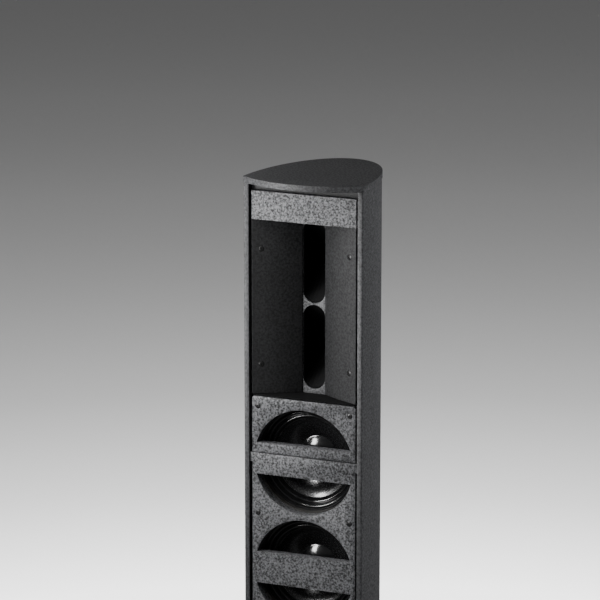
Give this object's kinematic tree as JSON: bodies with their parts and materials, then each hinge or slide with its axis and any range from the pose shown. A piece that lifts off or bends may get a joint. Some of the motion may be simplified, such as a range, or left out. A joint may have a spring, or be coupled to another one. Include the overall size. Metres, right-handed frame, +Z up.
{
  "type": "column loudspeaker",
  "caption": "Slim column PA loudspeaker: D-section cabinet with flat caps, a V horn with round-ended slots above a row of small woofers behind barred round openings.",
  "frame": {"origin": "middle of the footprint, at the underside of the feet", "axes": "+Z up along the column, -Y to the front, +X to the right seen from the front"},
  "size_m": [0.1344, 0.154, 0.7656],
  "materials": {
    "coated_aluminium": "black structured powder coat, fine grain, semi-matt",
    "coated_plate": "black structured paint, coarser grain, semi-matt",
    "horn_plastic": "black moulded plastic, satin",
    "board": "black-stained fibreboard",
    "steel": "pressed and plated steel",
    "magnet": "ferrite and blackened steel",
    "coated_cone": "black coated cone, glossy",
    "dome_metal": "thin drawn metal dome",
    "rubber": "black rubber, satin",
    "foam": "dark felt and open foam",
    "circuit": "green circuit board",
    "copper": "enamelled copper wire"
  },
  "bodies": {
    "cabinet": {"cabinet_shell": "coated_aluminium", "top_cap": "coated_aluminium", "bottom_cap": "coated_aluminium", "top_panel": "coated_plate", "bottom_panel": "coated_plate", "upper_baffle_plate": "coated_plate", "main_baffle_plate": "coated_plate", "slot_strip": "coated_plate", "horn_wing_left": "horn_plastic", "horn_wing_right": "horn_plastic", "horn_roof": "horn_plastic", "horn_floor": "horn_plastic", "waveguide_upper": "horn_plastic", "waveguide_lower": "horn_plastic", "terminal_cup": "horn_plastic", "speaker_socket_1": "horn_plastic", "speaker_socket_2": "horn_plastic", "driver_board": "board", "pole_socket": "steel", "wall_boss_upper": "steel", "wall_boss_lower": "steel", "foot_1": "rubber", "foot_2": "rubber", "foot_3": "rubber", "foot_4": "rubber", "hf_motor_upper": "magnet", "hf_cover_upper": "magnet", "hf_motor_lower": "magnet", "hf_cover_lower": "magnet", "woofer_1_basket": "steel", "woofer_1_motor": "magnet", "woofer_1_spider": "foam", "woofer_1_surround": "rubber", "woofer_2_basket": "steel", "woofer_2_motor": "magnet", "woofer_2_spider": "foam", "woofer_2_surround": "rubber", "woofer_3_basket": "steel", "woofer_3_motor": "magnet", "woofer_3_spider": "foam", "woofer_3_surround": "rubber", "woofer_4_basket": "steel", "woofer_4_motor": "magnet", "woofer_4_spider": "foam", "woofer_4_surround": "rubber", "crossover_board": "circuit", "crossover_coil": "copper", "crossover_capacitor": "rubber", "damping_foam": "foam"},
    "woofer_1_moving": {"woofer_1_cone": "coated_cone", "woofer_1_dust_cap": "coated_cone"},
    "woofer_2_moving": {"woofer_2_cone": "coated_cone", "woofer_2_dust_cap": "coated_cone"},
    "woofer_3_moving": {"woofer_3_cone": "coated_cone", "woofer_3_dust_cap": "coated_cone"},
    "woofer_4_moving": {"woofer_4_cone": "coated_cone", "woofer_4_dust_cap": "coated_cone"},
    "hf_upper_moving": {"hf_diaphragm_upper": "dome_metal"},
    "hf_lower_moving": {"hf_diaphragm_lower": "dome_metal"}
  },
  "joints": [
    {"name": "woofer_1_travel", "type": "slide", "parent": "cabinet", "child": "woofer_1_moving", "axis": [0, -1, 0], "range_m": [-0.004, 0.004], "stiffness_N_per_m": 1400, "deforming": ["woofer_1_surround", "woofer_1_spider"]},
    {"name": "woofer_2_travel", "type": "slide", "parent": "cabinet", "child": "woofer_2_moving", "axis": [0, -1, 0], "range_m": [-0.004, 0.004], "stiffness_N_per_m": 1400, "deforming": ["woofer_2_surround", "woofer_2_spider"]},
    {"name": "woofer_3_travel", "type": "slide", "parent": "cabinet", "child": "woofer_3_moving", "axis": [0, -1, 0], "range_m": [-0.004, 0.004], "stiffness_N_per_m": 1400, "deforming": ["woofer_3_surround", "woofer_3_spider"]},
    {"name": "woofer_4_travel", "type": "slide", "parent": "cabinet", "child": "woofer_4_moving", "axis": [0, -1, 0], "range_m": [-0.004, 0.004], "stiffness_N_per_m": 1400, "deforming": ["woofer_4_surround", "woofer_4_spider"]},
    {"name": "hf_upper_travel", "type": "slide", "parent": "cabinet", "child": "hf_upper_moving", "axis": [0, -1, 0], "range_m": [-0.0002, 0.0002], "stiffness_N_per_m": 3000},
    {"name": "hf_lower_travel", "type": "slide", "parent": "cabinet", "child": "hf_lower_moving", "axis": [0, -1, 0], "range_m": [-0.0002, 0.0002], "stiffness_N_per_m": 3000}
  ]
}
